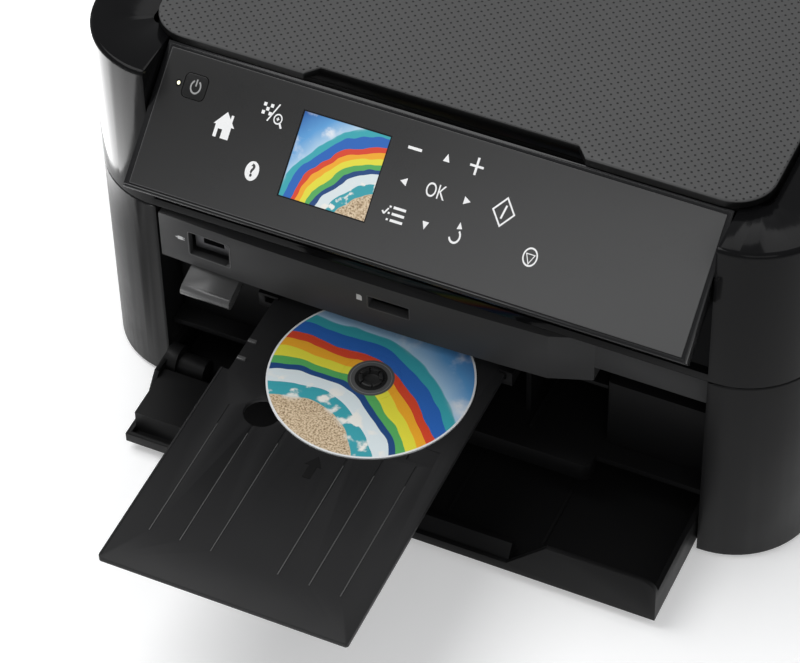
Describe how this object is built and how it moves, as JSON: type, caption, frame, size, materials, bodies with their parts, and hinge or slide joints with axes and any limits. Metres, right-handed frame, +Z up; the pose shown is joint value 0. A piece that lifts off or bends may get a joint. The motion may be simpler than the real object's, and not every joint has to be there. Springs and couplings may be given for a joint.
{
  "type": "photo printer with disc tray and scanner",
  "caption": "Desktop inkjet printer with flatbed scanner lid, tilting control panel, card slots, a slide-in tray that carries a printable disc, and a paper drawer.",
  "frame": {"origin": "middle of the printer's outer box, on the surface that it stands on", "axes": "+X to the right seen from the front, +Y to the back, +Z up"},
  "size_m": [0.448, 0.5886, 0.2584],
  "materials": {
    "satin_black": "satin black moulded plastic",
    "gloss_black": "polished black plastic",
    "lid_grey": "dark grey plastic with small dimples",
    "face_gloss": "dark glossy face plate",
    "tray_black": "matt black plastic",
    "inner_black": "matt black plastic",
    "lever_grey": "grey plastic",
    "hub_grey": "grey plastic",
    "disc_print": "printed disc face on polycarbonate",
    "screen": "lit screen behind glass",
    "glass": "clear float glass",
    "white_foam": "white foam pad",
    "zinc_sheet": "zinc plated sheet",
    "steel": "ground steel",
    "chrome_rod": "polished rod",
    "rubber_black": "black rubber",
    "gear_white": "natural acetal",
    "board_green": "green circuit board",
    "ink_dark": "dark cartridge shells",
    "head_gold": "nozzle plate",
    "engine_grey": "dark grey glass-filled plastic"
  },
  "bodies": {
    "printer_base": {"base_pan": "inner_black", "lower_housing": "satin_black", "case_screws": "steel", "rubber_feet": "rubber_black", "power_inlet": "inner_black", "rear_usb_socket": "steel", "front_bezel": "satin_black", "usb_socket": "steel", "card_socket": "inner_black", "paper_deck": "inner_black", "bay_blocks": "inner_black", "tray_guides": "inner_black", "chassis": "zinc_sheet", "carriage_shaft": "chrome_rod", "platen": "engine_grey", "capping_station": "engine_grey", "carriage_belt": "rubber_black", "carriage_motor": "zinc_sheet", "feed_motor": "zinc_sheet", "power_supply": "inner_black", "main_board": "board_green", "lower_hinges": "inner_black", "hinge_pins": "steel"},
    "rear_door": {"rear_cover": "satin_black"},
    "tray": {"disc_tray": "tray_black", "disc_hub": "hub_grey"},
    "disc": {"label_disc": "disc_print"},
    "lever": {"tray_lever": "lever_grey"},
    "drawer": {"paper_drawer": "tray_black"},
    "guide": {"edge_guide": "engine_grey"},
    "carriage": {"print_carriage": "engine_grey", "print_head": "head_gold", "ink_cartridges": "ink_dark"},
    "drive_pulley": {"belt_drive_pulley": "gear_white"},
    "idler_pulley": {"belt_idler_pulley": "gear_white"},
    "feed_shaft": {"feed_roller": "steel", "feed_gear": "gear_white"},
    "exit_shaft": {"exit_roller": "rubber_black", "exit_gear": "gear_white"},
    "middle_gear": {"idler_gear": "gear_white"},
    "motor_pinion": {"feed_pinion": "gear_white"},
    "pickup": {"pickup_arm": "engine_grey"},
    "pickup_wheel": {"pickup_roller": "rubber_black"},
    "scanner_unit": {"upper_housing": "gloss_black", "glass_frame": "inner_black", "platen_glass": "glass", "scanner_floor": "inner_black", "scan_rail": "steel", "upper_hinges": "inner_black", "panel_pins": "steel", "lid_hinge_mounts": "inner_black"},
    "sensor_bar": {"scan_head": "engine_grey"},
    "lid": {"lid_cover": "lid_grey", "lid_pad": "white_foam", "lid_hinge_arms": "inner_black"},
    "panel": {"panel_housing": "satin_black", "panel_face": "face_gloss", "lcd_screen": "screen", "panel_board": "board_green"},
    "button": {"power_button": "face_gloss"}
  },
  "joints": [
    {"name": "rear_cover_pull", "type": "slide", "parent": "printer_base", "child": "rear_door", "axis": [0, 1, 0], "range_m": [0, 0.05]},
    {"name": "disc_tray_slide", "type": "slide", "parent": "printer_base", "child": "tray", "axis": [0, 1, 0], "range_m": [-0.05, 0.175]},
    {"name": "disc_spin", "type": "hinge", "parent": "tray", "child": "disc", "pos_m": [-0.0202, -0.11685, 0.0957], "axis": [0, 0, 1], "continuous": true},
    {"name": "tray_lever_press", "type": "hinge", "parent": "printer_base", "child": "lever", "pos_m": [-0.13525, -0.07215, 0.1025], "axis": [1, 0, 0], "range_deg": [0, 22], "stiffness_Nm_per_rad": 0.05, "springref_deg": -20.05},
    {"name": "paper_drawer_slide", "type": "slide", "parent": "printer_base", "child": "drawer", "axis": [0, -1, 0], "range_m": [-0.054, 0.15]},
    {"name": "edge_guide_slide", "type": "slide", "parent": "drawer", "child": "guide", "axis": [1, 0, 0], "range_m": [-0.025, 0.06]},
    {"name": "print_carriage_slide", "type": "slide", "parent": "printer_base", "child": "carriage", "axis": [1, 0, 0], "range_m": [-0.206, 0]},
    {"name": "drive_pulley_spin", "type": "hinge", "parent": "printer_base", "child": "drive_pulley", "pos_m": [-0.15, 0.10285, 0.134], "axis": [0, 1, 0], "continuous": true},
    {"name": "idler_pulley_spin", "type": "hinge", "parent": "printer_base", "child": "idler_pulley", "pos_m": [0.15, 0.10285, 0.134], "axis": [0, 1, 0], "continuous": true},
    {"name": "feed_roller_spin", "type": "hinge", "parent": "printer_base", "child": "feed_shaft", "pos_m": [0, 0.10385, 0.086], "axis": [1, 0, 0], "continuous": true},
    {"name": "exit_roller_spin", "type": "hinge", "parent": "printer_base", "child": "exit_shaft", "pos_m": [0, 0.01985, 0.086], "axis": [1, 0, 0], "continuous": true},
    {"name": "idler_gear_spin", "type": "hinge", "parent": "printer_base", "child": "middle_gear", "pos_m": [0.168, 0.06185, 0.086], "axis": [1, 0, 0], "continuous": true},
    {"name": "motor_pinion_spin", "type": "hinge", "parent": "printer_base", "child": "motor_pinion", "pos_m": [0.168, 0.12935, 0.086], "axis": [1, 0, 0], "continuous": true},
    {"name": "pickup_arm_lift", "type": "hinge", "parent": "printer_base", "child": "pickup", "pos_m": [0, 0.16585, 0.062], "axis": [-1, 0, 0], "range_deg": [0, 20]},
    {"name": "pickup_wheel_spin", "type": "hinge", "parent": "pickup", "child": "pickup_wheel", "pos_m": [0, 0.10885, 0.021], "axis": [1, 0, 0], "continuous": true},
    {"name": "scanner_unit_open", "type": "hinge", "parent": "printer_base", "child": "scanner_unit", "pos_m": [0, 0.28935, 0.1466], "axis": [-1, 0, 0], "range_deg": [0, 32]},
    {"name": "scan_head_slide", "type": "slide", "parent": "scanner_unit", "child": "sensor_bar", "axis": [1, 0, 0], "range_m": [0, 0.262]},
    {"name": "lid_open", "type": "hinge", "parent": "scanner_unit", "child": "lid", "pos_m": [0, 0.26585, 0.2552], "axis": [-1, 0, 0], "range_deg": [0, 80]},
    {"name": "control_panel_tilt", "type": "hinge", "parent": "scanner_unit", "child": "panel", "pos_m": [0, -0.05577, 0.24117], "axis": [1, 0, 0], "range_deg": [-15, 30]},
    {"name": "power_button_press", "type": "slide", "parent": "panel", "child": "button", "axis": [0, 0.6428, -0.766], "range_m": [0, 0.001], "stiffness_N_per_m": 300, "springref_m": -0.001}
  ],
  "couplings": [
    {"joint": "drive_pulley_spin", "follows": "print_carriage_slide", "rad_per_m": -151.52},
    {"joint": "idler_pulley_spin", "follows": "print_carriage_slide", "rad_per_m": -151.52},
    {"joint": "exit_roller_spin", "follows": "feed_roller_spin", "ratio": 1},
    {"joint": "idler_gear_spin", "follows": "feed_roller_spin", "ratio": -0.75},
    {"joint": "motor_pinion_spin", "follows": "feed_roller_spin", "ratio": -2.4}
  ]
}
